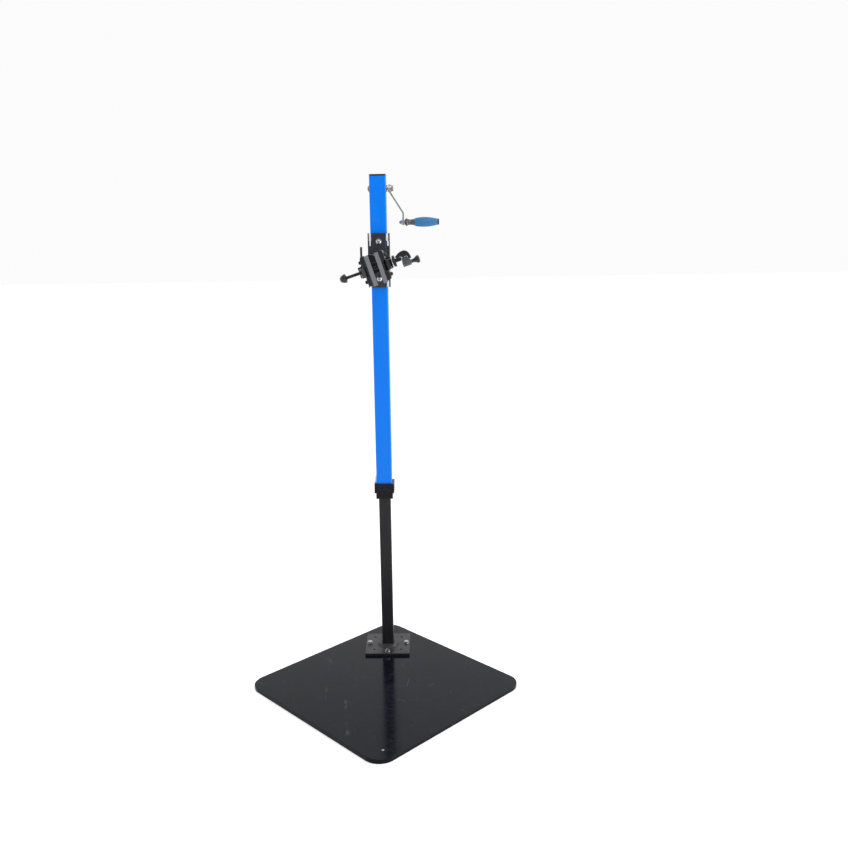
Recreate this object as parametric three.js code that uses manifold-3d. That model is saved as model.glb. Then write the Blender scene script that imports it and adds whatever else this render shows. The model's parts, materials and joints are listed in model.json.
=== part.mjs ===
// A hand-cranked bicycle repair stand. A heavy square steel plate lies on the floor, turned so that a
// corner points forwards. A black square post is bolted to it near the back corner. A blue square column
// slides over the post: a crank at its top turns a pair of mitre gears, and they turn a long screw that
// climbs in a nut in the post. A bracket on the column holds a long arm, and the arm carries a clamp
// with two padded jaws, a threaded rod with a knob, and a cam lever.
//
// Millimetres, +Z up, origin under the middle of the base plate. The arm points along -Y.

import * as THREE from "three";
import { mergeVertices } from "three/addons/utils/BufferGeometryUtils.js";
import { ConvexGeometry } from "three/addons/geometries/ConvexGeometry.js";
import Module from "manifold-3d";

const wasm = await Module();
wasm.setup();

// ---------------------------------------------------------------- driving dimensions

const GAP = 0.3; // between pieces that touch
const PLATE = { side: 613, thick: 12.7, corner: 54 };
const PLUG_PLACE = [9, -364, 0];
const COLUMN_Y = 246; // the column's axis, behind the middle of the plate
const FLANGE = { half: 74, thick: 9.2, holeAt: 45, holeRadius: 4 };
const FOOT_BOLT = { reach: 62, acrossFlats: 14.3, head: 6.2, shank: 4.8, washer: 8.8 };
const POST = { half: 19.05, wall: 3.2, top: 1000 };
const COLUMN = { half: 25.4, wall: 3.2, corner: 5, bottom: 570, top: 1556 };
const CAP_THICK = 5;
const COLLAR = { half: 32.2, bottom: 565.3, top: 596, sleeveHalf: 27, sleeveBottom: 545 };
const SHIM = { top: 615, thick: 4.2, half: 16 };

const CRANK_Z = 1520; // height of the crank shaft
const GEAR = { teeth: 16, radius: 14, face: 6, addendum: 1.1, dedendum: 1.7 };
const SHAFT_RADIUS = 5;
const ARM_BAR = { thick: 5, wide: 20, hubX: 36, bendDrop: 11, kneeX: 75.5, kneeDrop: 73, reach: 100.5 };
const SCREW = { radius: 8, bottom: 880 };
const BEARING_BLOCK = { bottom: 1476, top: 1490 };

const BRACKET = { bottom: 1225, top: 1388, plateHalf: 22.5, thick: 6 };
const BRACKET_SIDE = { x: 30, thick: 3.2, back: 14 };
const BRACKET_BOLT = { inset: 25.5, radius: 9 };
const SWIVEL_Z = 1306; // height of the arm's axis
const SOCKET = { flangeRadius: 31.5, radius: 25, length: 92 };
const ARM_RADIUS = 19;

const CLAMP = { x: 16.1, y: -284, z: 1299.1, tilt: THREE.MathUtils.degToRad(18.3) };
const JAW = { inner: 19, outer: 30, front: -17, back: 37.7, bottom: -39, top: 37 };
const PAD = { inner: 7.6, outer: 18.7, front: -16, back: 12, bottom: -42, top: 35, groove: 16.1 };
const BARREL = { x: 29.5, y: 20, radius: 12, bottom: -15.5, top: 10 };
const ROD = { radius: 4, neck: 3, neckX: 51.5, knobX: -78 };
const RING = { x: 44.6, thick: 7.2, radius: 14.3, lobes: 14 };
const CAM = { x: 60, half: 4.8, headRadius: 3.9 }; // the cam lever's pin and its block

// ---------------------------------------------------------------- materials

const paint = (color, roughness, metalness) =>
  new THREE.MeshStandardMaterial({ color, roughness, metalness });

const BLACK_COAT = paint(0x2c2d31, 0.55, 0.1);
const BLUE_COAT = paint(0x0057c8, 0.35, 0.1);
const BLACK_CAST = paint(0x303136, 0.6, 0.2);
const BLACK_PLASTIC = paint(0x26272a, 0.5, 0);
const BLUE_GRIP = paint(0x2f78b4, 0.6, 0);
const GREY_RUBBER = paint(0x777c80, 0.9, 0);
const WHITE_NYLON = paint(0xdfe1de, 0.6, 0);
const ZINC = paint(0xb4b8b6, 0.35, 0.9);
const STEEL = paint(0x8d9093, 0.4, 0.9);
const DARK_STEEL = paint(0x4c4b4e, 0.4, 0.8);
const GREY_PAINT = paint(0x5e5f64, 0.4, 0.1);
const BRONZE = paint(0xa9814c, 0.45, 0.9);

// ---------------------------------------------------------------- joining and cutting

// A closed three.js geometry as a solid that can be joined and cut.
function solid(geometry) {
  const bare = geometry.index ? geometry.toNonIndexed() : geometry.clone();
  bare.deleteAttribute("normal");
  bare.deleteAttribute("uv");
  const merged = mergeVertices(bare, 1e-4);
  return new wasm.Manifold(
    new wasm.Mesh({
      numProp: 3,
      vertProperties: merged.attributes.position.array,
      triVerts: new Uint32Array(merged.index.array),
    }),
  );
}

function geometryOf(body) {
  const mesh = body.getMesh();
  const geometry = new THREE.BufferGeometry();
  geometry.setAttribute("position", new THREE.BufferAttribute(mesh.vertProperties, 3));
  geometry.setIndex(new THREE.BufferAttribute(mesh.triVerts, 1));
  geometry.computeVertexNormals();
  return geometry;
}

const join = (first, ...others) => others.reduce((all, next) => all.add(next), first);
const cut = (first, ...others) => others.reduce((all, next) => all.subtract(next), first);

// ---------------------------------------------------------------- simple shapes

function block([x0, x1], [y0, y1], [z0, z1]) {
  const box = new THREE.BoxGeometry(x1 - x0, y1 - y0, z1 - z0);
  return solid(box.translate((x0 + x1) / 2, (y0 + y1) / 2, (z0 + z1) / 2));
}

// Turns a geometry that lies along +Y so that it lies along the named axis.
function turnTo(geometry, axis) {
  if (axis === "x") geometry.rotateZ(-Math.PI / 2);
  if (axis === "z") geometry.rotateX(Math.PI / 2);
  return geometry;
}

// A round bar along an axis, from one place on it to another; the other two coordinates are in place.
function bar(axis, radius, from, to, place = [0, 0, 0], sides = 20) {
  const cylinder = new THREE.CylinderGeometry(radius, radius, to - from, sides);
  cylinder.translate(0, (from + to) / 2, 0);
  return solid(turnTo(cylinder, axis).translate(...place));
}

// A turned piece: [radius, distance along the axis] pairs that start and end on the axis.
function turned(axis, profile, place = [0, 0, 0], sides = 22) {
  const outline = profile.map(([radius, along]) => new THREE.Vector2(radius, along));
  return solid(turnTo(new THREE.LatheGeometry(outline, sides), axis).translate(...place));
}

function roundedSquare(half, corner, kind = THREE.Shape, halfY = half) {
  const shape = new kind();
  const [x, y] = [half - corner, halfY - corner];
  shape.absarc(x, y, corner, 0, Math.PI / 2);
  shape.absarc(-x, y, corner, Math.PI / 2, Math.PI);
  shape.absarc(-x, -y, corner, Math.PI, 1.5 * Math.PI);
  shape.absarc(x, -y, corner, 1.5 * Math.PI, 2 * Math.PI);
  return shape;
}

// A shape in the XY plane, raised from z0 to z1, its edges broken by a small bevel.
function raised(shape, z0, z1, bevel = 0, curveSegments = 3) {
  const geometry = new THREE.ExtrudeGeometry(shape, {
    depth: z1 - z0 - 2 * bevel,
    bevelEnabled: bevel > 0,
    bevelThickness: bevel,
    bevelSize: bevel,
    bevelOffset: -bevel,
    bevelSegments: 1,
    curveSegments,
  });
  return solid(geometry.translate(0, 0, z0 + bevel));
}

// A shape drawn as seen from the front, [x, z], and given depth from y0 (front) to y1 (back).
function fromFront(shape, y0, y1, bevel = 0, curveSegments = 6) {
  const geometry = new THREE.ExtrudeGeometry(shape, {
    depth: y1 - y0 - 2 * bevel,
    bevelEnabled: bevel > 0,
    bevelThickness: bevel,
    bevelSize: bevel,
    bevelOffset: -bevel,
    bevelSegments: 1,
    curveSegments,
  });
  return solid(geometry.rotateX(Math.PI / 2).translate(0, y1 - bevel, 0));
}

function squareTube(half, wall, z0, z1, corner = 3) {
  const shape = roundedSquare(half, corner);
  shape.holes.push(roundedSquare(half - wall, 0.8, THREE.Path));
  return raised(shape, z0, z1);
}

// A square ring with a square hole.
function squareRing(half, hole, z0, z1, corner = 2) {
  return squareTube(half, half - hole, z0, z1, corner);
}

function hexagon(acrossFlats) {
  const shape = new THREE.Shape();
  const radius = acrossFlats / Math.sqrt(3);
  for (let i = 0; i < 6; i += 1) {
    const angle = (i * Math.PI) / 3;
    shape[i ? "lineTo" : "moveTo"](radius * Math.cos(angle), radius * Math.sin(angle));
  }
  return shape.closePath();
}

// ---------------------------------------------------------------- the scene graph

const repairStand = new THREE.Group();

function groupAt(parent, x, y, z) {
  const group = new THREE.Group();
  group.position.set(x, y, z);
  parent.add(group);
  return group;
}

function add(group, name, body, material) {
  const mesh = new THREE.Mesh(geometryOf(body), material);
  mesh.name = name;
  group.add(mesh);
}

// ---------------------------------------------------------------- base and post

const base = groupAt(repairStand, 0, 0, 0);
const foot = groupAt(repairStand, 0, COLUMN_Y, 0);
const flangeBottom = PLATE.thick + GAP;
const flangeTop = flangeBottom + FLANGE.thick;
const postBottom = flangeTop + GAP;

// The four foot bolts sit in the middle of the flange's edges.
const footBoltPlaces = [0, 1, 2, 3].map((i) => {
  const angle = (i * Math.PI) / 2;
  return [FOOT_BOLT.reach * Math.cos(angle), FOOT_BOLT.reach * Math.sin(angle)];
});

function basePlate() {
  const shape = roundedSquare(PLATE.side / 2, PLATE.corner);
  const geometry = new THREE.ExtrudeGeometry(shape, {
    depth: PLATE.thick - 2,
    bevelThickness: 1,
    bevelSize: 1,
    bevelOffset: -1,
    bevelSegments: 1,
    curveSegments: 8,
  });
  const plate = solid(geometry.translate(0, 0, 1).rotateZ(Math.PI / 4));
  const holes = footBoltPlaces.map(([x, y]) =>
    bar("z", FOOT_BOLT.shank + GAP, -1, PLATE.thick + 1, [x, y + COLUMN_Y, 0], 12),
  );
  const plugHole = bar("z", 4.3, -1, PLATE.thick + 1, PLUG_PLACE, 12);
  return cut(plate, ...holes, plugHole);
}

// The fillet of weld metal around the foot of the post.
function postWeld() {
  const outer = new THREE.CylinderGeometry(30, 34, 7, 28).rotateX(Math.PI / 2);
  const side = POST.half + GAP;
  const ring = solid(outer.translate(0, 0, flangeTop + 2.5));
  return cut(ring, block([-side, side], [-side, side], [flangeTop - 2, flangeTop + 7]));
}

function footFlange() {
  const plate = raised(roundedSquare(FLANGE.half, 3), flangeBottom, flangeTop, 0.8);
  const boltHoles = footBoltPlaces.map(([x, y]) =>
    bar("z", FOOT_BOLT.shank + GAP, 0, flangeTop + 1, [x, y, 0], 12),
  );
  const spareHoles = [-1, 1].flatMap((sx) =>
    [-1, 1].map((sy) => {
      const place = [sx * FLANGE.holeAt, sy * FLANGE.holeAt, 0];
      return bar("z", FLANGE.holeRadius, 0, flangeTop + 1, place, 12);
    }),
  );
  return join(cut(plate, ...boltHoles, ...spareHoles), postWeld());
}

// A hex bolt with its washer, from its threaded end in the plate up to its chamfered head.
function footBolt([x, y], turn) {
  const headBottom = flangeTop + GAP + 1.6;
  const headTop = headBottom + FOOT_BOLT.head;
  const hex = new THREE.ExtrudeGeometry(hexagon(FOOT_BOLT.acrossFlats), {
    depth: FOOT_BOLT.head,
    bevelEnabled: false,
  });
  const prism = solid(hex.rotateZ(turn).translate(x, y, headBottom - 0.1));
  const chamfer = turned("z", [
    [0, headBottom - 1],
    [8.6, headBottom - 1],
    [8.6, headTop - 1.4],
    [6.6, headTop],
    [0, headTop],
  ], [x, y, 0]);
  const washer = bar("z", FOOT_BOLT.washer, flangeTop + GAP, headBottom, [x, y, 0], 24);
  const shank = bar("z", FOOT_BOLT.shank, 2, headBottom, [x, y, 0], 12);
  return join(prism.intersect(chamfer), washer, shank);
}

function liftNut() {
  const fit = POST.half - POST.wall - GAP;
  const body = block([-fit, fit], [-fit, fit], [POST.top - 36, POST.top + 2]);
  const lip = block([-POST.half, POST.half], [-POST.half, POST.half], [POST.top + GAP, POST.top + 5]);
  return cut(join(body, lip), bar("z", SCREW.radius + GAP, POST.top - 40, POST.top + 8, [0, 0, 0], 24));
}

add(base, "base_plate", basePlate(), BLACK_COAT);
add(base, "plate_plug", bar("z", 4, 1, PLATE.thick - 0.6, PLUG_PLACE, 12), ZINC);
add(foot, "foot_flange", footFlange(), BLACK_COAT);
footBoltPlaces.forEach((place, i) => {
  add(foot, `foot_bolt_${i + 1}`, footBolt(place, 0.25 + 0.4 * i), ZINC);
});
add(foot, "inner_post", squareTube(POST.half, POST.wall, postBottom, POST.top), BLACK_COAT);
add(foot, "lift_nut", liftNut(), BRONZE);
const columnInside = COLUMN.half - COLUMN.wall;
const postGuide = squareRing(columnInside - GAP, POST.half + GAP, POST.top - 45, POST.top - 5, 1);
add(foot, "post_guide", postGuide, WHITE_NYLON);

// ---------------------------------------------------------------- sliding column

const column = groupAt(repairStand, 0, COLUMN_Y, 0);

function outerColumn() {
  const tube = squareTube(COLUMN.half, COLUMN.wall, COLUMN.bottom, COLUMN.top, COLUMN.corner);
  const shaftHoles = bar("x", SHAFT_RADIUS + 3 + GAP, -40, 40, [0, 0, CRANK_Z], 24);
  const boltHoles = bracketBoltHeights().map((z) => bar("y", 5.3, -40, 0, [0, 0, z], 12));
  return cut(tube, shaftHoles, ...boltHoles);
}

function topCap() {
  const shape = roundedSquare(COLUMN.half, COLUMN.corner);
  const lid = raised(shape, COLUMN.top + GAP, COLUMN.top + CAP_THICK, 0.8);
  const fit = columnInside - GAP;
  const skirt = raised(roundedSquare(fit, 1), COLUMN.top - 10, COLUMN.top + 1);
  const hollow = raised(roundedSquare(fit - 2, 1), COLUMN.top - 11, COLUMN.top - 1);
  return join(lid, cut(skirt, hollow));
}

function lowerCollar() {
  const wall = squareRing(COLLAR.half, COLUMN.half + GAP, COLLAR.bottom, COLLAR.top, 3.5);
  const floorTop = COLUMN.bottom - GAP;
  return join(wall, squareRing(COLLAR.half - 1, POST.half + GAP, COLLAR.bottom, floorTop, 2.5));
}

// A white wear strip that stands on the collar beside the tube.
function collarShim() {
  const inside = -COLUMN.half - GAP;
  return block([inside - SHIM.thick, inside], [-SHIM.half, SHIM.half], [COLLAR.top + GAP, SHIM.top]);
}

// The bronze block fixed across the tube: the column's weight rests on the screw's shoulder through it.
function bearingBlock() {
  const fit = columnInside - GAP;
  const body = raised(roundedSquare(fit, 1.2), BEARING_BLOCK.bottom, BEARING_BLOCK.top);
  return cut(body, bar("z", SCREW.radius + GAP, BEARING_BLOCK.bottom - 1, BEARING_BLOCK.top + 1));
}

// A flanged bronze bushing in one wall of the tube.
function shaftBushing(side) {
  const inside = side * (columnInside - 1);
  const wallOut = side * (COLUMN.half + GAP);
  const out = side * (COLUMN.half + 2.5);
  const span = (a, b) => [Math.min(a, b), Math.max(a, b)];
  const place = [0, 0, CRANK_Z];
  const sleeve = bar("x", SHAFT_RADIUS + 3, ...span(inside, out), place, 24);
  const rim = bar("x", SHAFT_RADIUS + 5.5, ...span(wallOut, out), place, 24);
  return cut(join(sleeve, rim), bar("x", SHAFT_RADIUS + GAP, -40, 40, place, 24));
}

add(column, "outer_column", outerColumn(), BLUE_COAT);
add(column, "top_cap", topCap(), BLACK_PLASTIC);
add(column, "lower_collar", lowerCollar(), BLACK_COAT);
const sleeveTop = COLLAR.bottom - GAP;
const sleeve = squareRing(COLLAR.sleeveHalf, POST.half + GAP, COLLAR.sleeveBottom, sleeveTop, 2);
add(column, "collar_sleeve", sleeve, BLACK_PLASTIC);
add(column, "collar_shim", collarShim(), WHITE_NYLON);
add(column, "bearing_block", bearingBlock(), BRONZE);
add(column, "bushing_left", shaftBushing(-1), BRONZE);
add(column, "bushing_right", shaftBushing(1), BRONZE);

// ---------------------------------------------------------------- bracket and arm socket

const plateFront = -(COLUMN.half + GAP + BRACKET.thick + 1.5);
const plateBack = plateFront + BRACKET.thick;

function bracketPlate(back) {
  const shape = new THREE.Shape();
  const [half, z0, z1, cornerCut] = [BRACKET.plateHalf, BRACKET.bottom, BRACKET.top, 2];
  shape.moveTo(-half + cornerCut, z0);
  shape.lineTo(half - cornerCut, z0);
  shape.lineTo(half, z0 + cornerCut);
  shape.lineTo(half, z1 - cornerCut);
  shape.lineTo(half - cornerCut, z1);
  shape.lineTo(-half + cornerCut, z1);
  shape.lineTo(-half, z1 - cornerCut);
  shape.lineTo(-half, z0 + cornerCut);
  const [y0, y1] = back ? [-plateBack, -plateFront] : [plateFront, plateBack];
  const plate = fromFront(shape, y0, y1, 0.6);
  if (back) return plate;
  const bolts = bracketBoltHeights().map((z) => bar("y", 5.3, -60, 0, [0, 0, z], 12));
  return cut(join(plate, bracketWeb(-1), bracketWeb(1)), ...bolts);
}

function bracketBoltHeights() {
  return [BRACKET.bottom + BRACKET_BOLT.inset, BRACKET.top - BRACKET_BOLT.inset];
}

function bracketSide(side) {
  const [near, far] = [side * BRACKET_SIDE.x, side * (BRACKET_SIDE.x + BRACKET_SIDE.thick)];
  const across = side > 0 ? [near, far] : [far, near];
  return block(across, [plateFront + 1, BRACKET_SIDE.back], [BRACKET.bottom, BRACKET.top]);
}

// A steel web at mid height, welded to the front plate's edge beside the column.
function bracketWeb(side) {
  const near = BRACKET.plateHalf - 1;
  const far = BRACKET_SIDE.x - GAP;
  const height = [BRACKET.bottom + 34, BRACKET.top - 38];
  const across = side > 0 ? [near, far] : [-far, -near];
  const clear = COLUMN.half + GAP;
  const web = block(across, [plateFront + 2, BRACKET_SIDE.back - 2], height);
  return cut(web, block([-clear, clear], [-clear, clear], [height[0] - 1, height[1] + 1]));
}

// An L-shaped nylon pad between a side plate and a front corner of the column.
function bracketPad(side, atTop) {
  const z0 = atTop ? BRACKET.top - 24 : BRACKET.bottom + 2;
  const far = BRACKET_SIDE.x - GAP;
  const near = BRACKET.plateHalf + GAP;
  const across = side > 0 ? [near, far] : [-far, -near];
  const clear = COLUMN.half + GAP;
  const body = block(across, [plateFront + 2, BRACKET_SIDE.back - 1], [z0, z0 + 22]);
  return cut(body, block([-clear, clear], [-clear, 60], [z0 - 1, z0 + 23]));
}

// A domed bolt through the front plate into the column's front wall.
function bracketBolt(z) {
  const face = plateFront - GAP;
  const radius = BRACKET_BOLT.radius;
  const head = turned("y", [
    [0, face - 7],
    [4.5, face - 6.6],
    [7.2, face - 5],
    [radius, face - 2],
    [radius, face],
    [0, face],
  ], [0, 0, z]);
  const shank = bar("y", 5, face - 1, face + BRACKET.thick + COLUMN.wall + 2, [0, 0, z], 12);
  return join(head, shank);
}

// The socket that the arm turns in: a round flange on the front plate, a tube, and a lug on the left
// that carries the locking bolt.
const socketBack = plateFront - GAP;
const socketFront = socketBack - SOCKET.length;
const lockY = socketFront + 38;

function armSocket() {
  const place = [0, 0, SWIVEL_Z];
  const flange = bar("y", SOCKET.flangeRadius, socketBack - 11, socketBack, place, 24);
  const tube = bar("y", SOCKET.radius, socketFront, socketBack - 1, place, 24);
  const lip = bar("y", SOCKET.radius + 2.5, socketFront, socketFront + 9, place, 24);
  const lug = bar("x", 10, -40, -SOCKET.radius + 4, [0, lockY, SWIVEL_Z], 24);
  const bore = bar("y", ARM_RADIUS + GAP, socketFront - 1, socketBack - 6, place, 24);
  const lockBore = bar("x", 5.3, -60, 0, [0, lockY, SWIVEL_Z], 20);
  return cut(join(flange, tube, lip, lug), bore, lockBore);
}

add(column, "bracket_front", bracketPlate(false), BLACK_COAT);
add(column, "bracket_back", bracketPlate(true), BLACK_COAT);
for (const [name, side] of [["left", -1], ["right", 1]]) {
  add(column, `bracket_side_${name}`, bracketSide(side), BLACK_COAT);
  add(column, `pad_top_${name}`, bracketPad(side, true), WHITE_NYLON);
  add(column, `pad_bottom_${name}`, bracketPad(side, false), WHITE_NYLON);
}
bracketBoltHeights().forEach((z, i) => {
  add(column, `bracket_bolt_${i ? "top" : "bottom"}`, bracketBolt(z), ZINC);
});
add(column, "arm_socket", armSocket(), BLACK_CAST);

// The locking bolt and its flat lever, on the left of the socket.
function lockLever() {
  const place = [0, lockY, SWIVEL_Z];
  const bolt = bar("x", 5, -55, -ARM_RADIUS - 0.6, place, 20);
  const hub = bar("x", 9, -54, -46, place, 24);
  const shape = roundedSquare(5.5, 5.4, THREE.Shape, 24);
  const grip = new THREE.ExtrudeGeometry(shape, { depth: 6, bevelEnabled: false, curveSegments: 6 });
  grip.rotateX(Math.PI / 2).rotateZ(Math.PI / 2).translate(-53, lockY, SWIVEL_Z + 18);
  return join(bolt, hub, solid(grip));
}
add(column, "lock_lever", lockLever(), BLACK_PLASTIC);

// ---------------------------------------------------------------- crank, mitre gears and screw

const crank = groupAt(repairStand, 0, COLUMN_Y, CRANK_Z);

// A mitre gear below its apex at the origin, turning about Z. Each tooth tapers towards the apex.
function mitreGear(boreRadius, phase) {
  const { teeth, radius, face, addendum, dedendum } = GEAR;
  const inner = (radius - face * Math.SQRT1_2) / radius;
  const thick = ((2 * Math.PI * radius) / teeth) * 0.4;
  const slope = Math.tan(THREE.MathUtils.degToRad(20));
  const rootDrop = dedendum * Math.SQRT1_2;
  const [rootRadius, rootZ] = [radius - rootDrop, -radius - rootDrop];
  const backZ = rootZ - 4;
  const blank = turned("z", [
    [0, backZ],
    [rootRadius, backZ],
    [rootRadius, rootZ],
    [rootRadius * inner, rootZ * inner],
    [0, rootZ * inner],
  ], [0, 0, 0], 24);
  let gear = blank;
  for (let i = 0; i < teeth; i += 1) {
    const angle = phase + (2 * Math.PI * i) / teeth;
    const out = new THREE.Vector3(Math.cos(angle), Math.sin(angle), 0);
    const across = new THREE.Vector3(-Math.sin(angle), Math.cos(angle), 0);
    const pitch = out.clone().multiplyScalar(radius).setZ(-radius);
    const normal = out.clone().setZ(1).multiplyScalar(Math.SQRT1_2);
    const points = [];
    for (const height of [-dedendum - 0.5, addendum]) {
      const half = thick / 2 - height * slope;
      for (const side of [-1, 1]) {
        const point = pitch.clone().addScaledVector(normal, height);
        point.addScaledVector(across, side * half);
        points.push(point, point.clone().multiplyScalar(inner));
      }
    }
    gear = gear.add(solid(new ConvexGeometry(points)));
  }
  return cut(gear, bar("z", boreRadius, backZ - 1, 0, [0, 0, 0], 20));
}

const gearBack = -GEAR.radius - GEAR.dedendum * Math.SQRT1_2 - 4;

function bevelPinion() {
  const gear = geometryOf(mitreGear(SHAFT_RADIUS + GAP, Math.PI / GEAR.teeth));
  return solid(gear.rotateY(-Math.PI / 2));
}

// The shaft, with a snap ring on its left end and the hub nut on its right end.
function crankShaft() {
  const left = -COLUMN.half - 6;
  const right = ARM_BAR.hubX + 9;
  const shaft = bar("x", SHAFT_RADIUS, left, right, [0, 0, 0], 20);
  const snapRing = bar("x", SHAFT_RADIUS + 2.5, left + 1, left + 2.8, [0, 0, 0], 20);
  const nutStart = ARM_BAR.hubX + 5 + GAP;
  const nut = new THREE.ExtrudeGeometry(hexagon(15), { depth: 5, bevelEnabled: false });
  return join(shaft, snapRing, solid(nut.rotateY(Math.PI / 2).translate(nutStart, 0, 0)));
}

// The outline of a bent flat bar: its centre line, moved to each side by half the thickness.
function bentBar(centreLine, thick) {
  const points = centreLine.map(([x, z]) => new THREE.Vector2(x, z));
  const directions = points.slice(1).map((point, i) => point.clone().sub(points[i]).normalize());
  const side = (sign) =>
    points.map((point, i) => {
      const before = directions[Math.max(i - 1, 0)];
      const after = directions[Math.min(i, directions.length - 1)];
      const middle = before.clone().add(after).normalize();
      const normal = new THREE.Vector2(-middle.y, middle.x);
      return point.clone().addScaledVector(normal, (sign * thick) / 2 / middle.dot(before));
    });
  return new THREE.Shape([...side(1), ...side(-1).reverse()]);
}

// The flat bar of the crank, seen from the front: a hub, a slanted stretch, a knee, then straight down.
function crankArm() {
  const { thick, wide, hubX, bendDrop, kneeX, kneeDrop, reach } = ARM_BAR;
  const centreLine = [[hubX, 11], [hubX, -bendDrop], [kneeX, -kneeDrop], [kneeX, -reach - 9]];
  const flat = fromFront(bentBar(centreLine, thick), -wide / 2, wide / 2);
  const hub = bar("x", 11, hubX - 6, hubX + 5, [0, 0, 0], 24);
  const shaftHole = bar("x", SHAFT_RADIUS + GAP, hubX - 20, hubX + 20, [0, 0, 0], 20);
  const boltHole = bar("x", 4 + GAP, kneeX - 20, kneeX + 20, [0, 0, -reach], 12);
  return cut(join(flat, hub), shaftHole, boltHole);
}

const armInside = ARM_BAR.kneeX - ARM_BAR.thick / 2;
const armOutside = ARM_BAR.kneeX + ARM_BAR.thick / 2;
const HANDLE = { ferrule: armOutside + 2.6, grip: 110.6, end: 180.3, tip: 185.2 };

// The bolt that the handle turns on, and the acorn nut on its inner end.
function handleBolt() {
  const collarRadius = 7;
  const pin = bar("x", 4, armInside - 4, HANDLE.tip - 8, [0, 0, 0], 12);
  return join(pin, bar("x", collarRadius, armOutside + GAP, armOutside + 2, [0, 0, 0], 20));
}

function acornNut() {
  const start = armInside - GAP;
  const nut = turned("x", [
    [0, start - 10],
    [2.4, start - 9.4],
    [4.4, start - 7.6],
    [5.6, start - 5],
    [7.2, start - 4.6],
    [7.2, start],
    [0, start],
  ], [0, 0, 0], 18);
  return cut(nut, bar("x", 4 + GAP, start - 4.4, start + 1, [0, 0, 0], 12));
}

function handleCore() {
  const { ferrule, grip, end } = HANDLE;
  const core = turned("x", [
    [0, ferrule],
    [7.5, ferrule],
    [11.5, ferrule + 4],
    [12, ferrule + 5.6],
    [10, ferrule + 8.4],
    [8.4, ferrule + 13],
    [8.3, ferrule + 20],
    [9.6, grip - 2.2],
    [10.8, grip - GAP],
    [6.5, grip - GAP],
    [6.5, end + 1],
    [0, end + 1],
  ]);
  return cut(core, bar("x", 4 + GAP, ferrule - 1, end + 2, [0, 0, 0], 12));
}

function handleGrip() {
  const { grip, end } = HANDLE;
  const length = end - grip;
  const profile = [[0, grip]];
  const steps = 8;
  for (let i = 0; i <= steps; i += 1) {
    const t = i / steps;
    const swell = 11 + 4.2 * Math.sin(Math.PI * Math.min(1, 0.04 + 0.96 * t) ** 0.9);
    profile.push([swell - 1.4 * t * t, grip + length * t]);
  }
  profile.push([0, end]);
  return cut(turned("x", profile, [0, 0, 0], 32), bar("x", 6.5 + GAP, grip - 1, end + 1));
}

function handleCap() {
  const start = HANDLE.end + GAP;
  const cap = turned("x", [
    [0, start],
    [9.4, start],
    [9.4, HANDLE.tip - 1.4],
    [8, HANDLE.tip],
    [0, HANDLE.tip],
  ]);
  return cut(cap, bar("x", 6.5 + GAP, start - 1, HANDLE.end + 1 + GAP, [0, 0, 0], 20));
}

function liftScrew() {
  const shoulderTop = BEARING_BLOCK.bottom - GAP - CRANK_Z;
  const thread = bar("z", SCREW.radius, SCREW.bottom - CRANK_Z, gearBack - 1, [0, 0, 0], 24);
  const shoulder = bar("z", 13, shoulderTop - 7, shoulderTop, [0, 0, 0], 24);
  const stub = bar("z", SHAFT_RADIUS, gearBack - 2, -GEAR.radius + 3, [0, 0, 0], 20);
  return join(thread, shoulder, stub);
}

add(crank, "crank_shaft", crankShaft(), STEEL);
add(crank, "bevel_pinion", bevelPinion(), STEEL);
add(crank, "crank_arm", crankArm(), ZINC);
add(crank, "lift_screw", liftScrew(), STEEL);
add(crank, "bevel_gear", mitreGear(SHAFT_RADIUS + GAP, 0), STEEL);

const handle = groupAt(crank, 0, 0, -ARM_BAR.reach);
add(handle, "handle_bolt", handleBolt(), STEEL);
add(handle, "acorn_nut", acornNut(), ZINC);
add(handle, "handle_core", handleCore(), BLACK_PLASTIC);
add(handle, "handle_grip", handleGrip(), BLUE_GRIP);
add(handle, "handle_cap", handleCap(), BLACK_PLASTIC);

// ---------------------------------------------------------------- arm and clamp

// The clamp's own axes: X along the rod towards the lever, Z along the clamped tube, Y to the back.
const clamp = groupAt(repairStand, CLAMP.x, CLAMP.y, CLAMP.z);
clamp.rotation.y = -CLAMP.tilt;

// Where the arm's axis crosses the clamp's own XZ plane.
const [swivelX, swivelZ] = (() => {
  const [dx, dz] = [-CLAMP.x, SWIVEL_Z - CLAMP.z];
  const [c, s] = [Math.cos(CLAMP.tilt), Math.sin(CLAMP.tilt)];
  return [dx * c + dz * s, dz * c - dx * s];
})();

const YOKE = { front: 38, back: 57, half: 14, left: -46, right: 41, hubBack: 92 };
const SLOT = { neck: 4, head: 8, neckBack: 45, headBack: 51.5 };

// The arm's round tube, open at both ends.
function clampArm() {
  const [front, back] = [CLAMP.y + YOKE.back + 9, COLUMN_Y + socketBack - 8];
  const place = [0, 0, SWIVEL_Z];
  const tube = bar("y", ARM_RADIUS, front, back, place, 24);
  return cut(tube, bar("y", ARM_RADIUS - 3, front - 1, back + 1, place, 32));
}

// The cast yoke on the arm's end: a beam behind the jaws with a T slot in its front.
function clampYoke() {
  const { front, back, half, left, right, hubBack } = YOKE;
  const beam = block([left, right], [front, back], [-half, half]);
  const place = [swivelX, 0, swivelZ];
  const hub = bar("y", ARM_RADIUS + 5.5, back - 6, hubBack, place, 26);
  const bore = bar("y", ARM_RADIUS + GAP, back + 8.5, hubBack + 1, place, 26);
  const neck = block([left - 1, 8], [front - 1, SLOT.neckBack + 0.5], [-SLOT.neck, SLOT.neck]);
  const head = block([left - 1, 8], [SLOT.neckBack, SLOT.headBack], [-SLOT.head, SLOT.head]);
  return cut(join(beam, hub), bore, neck, head);
}

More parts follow.
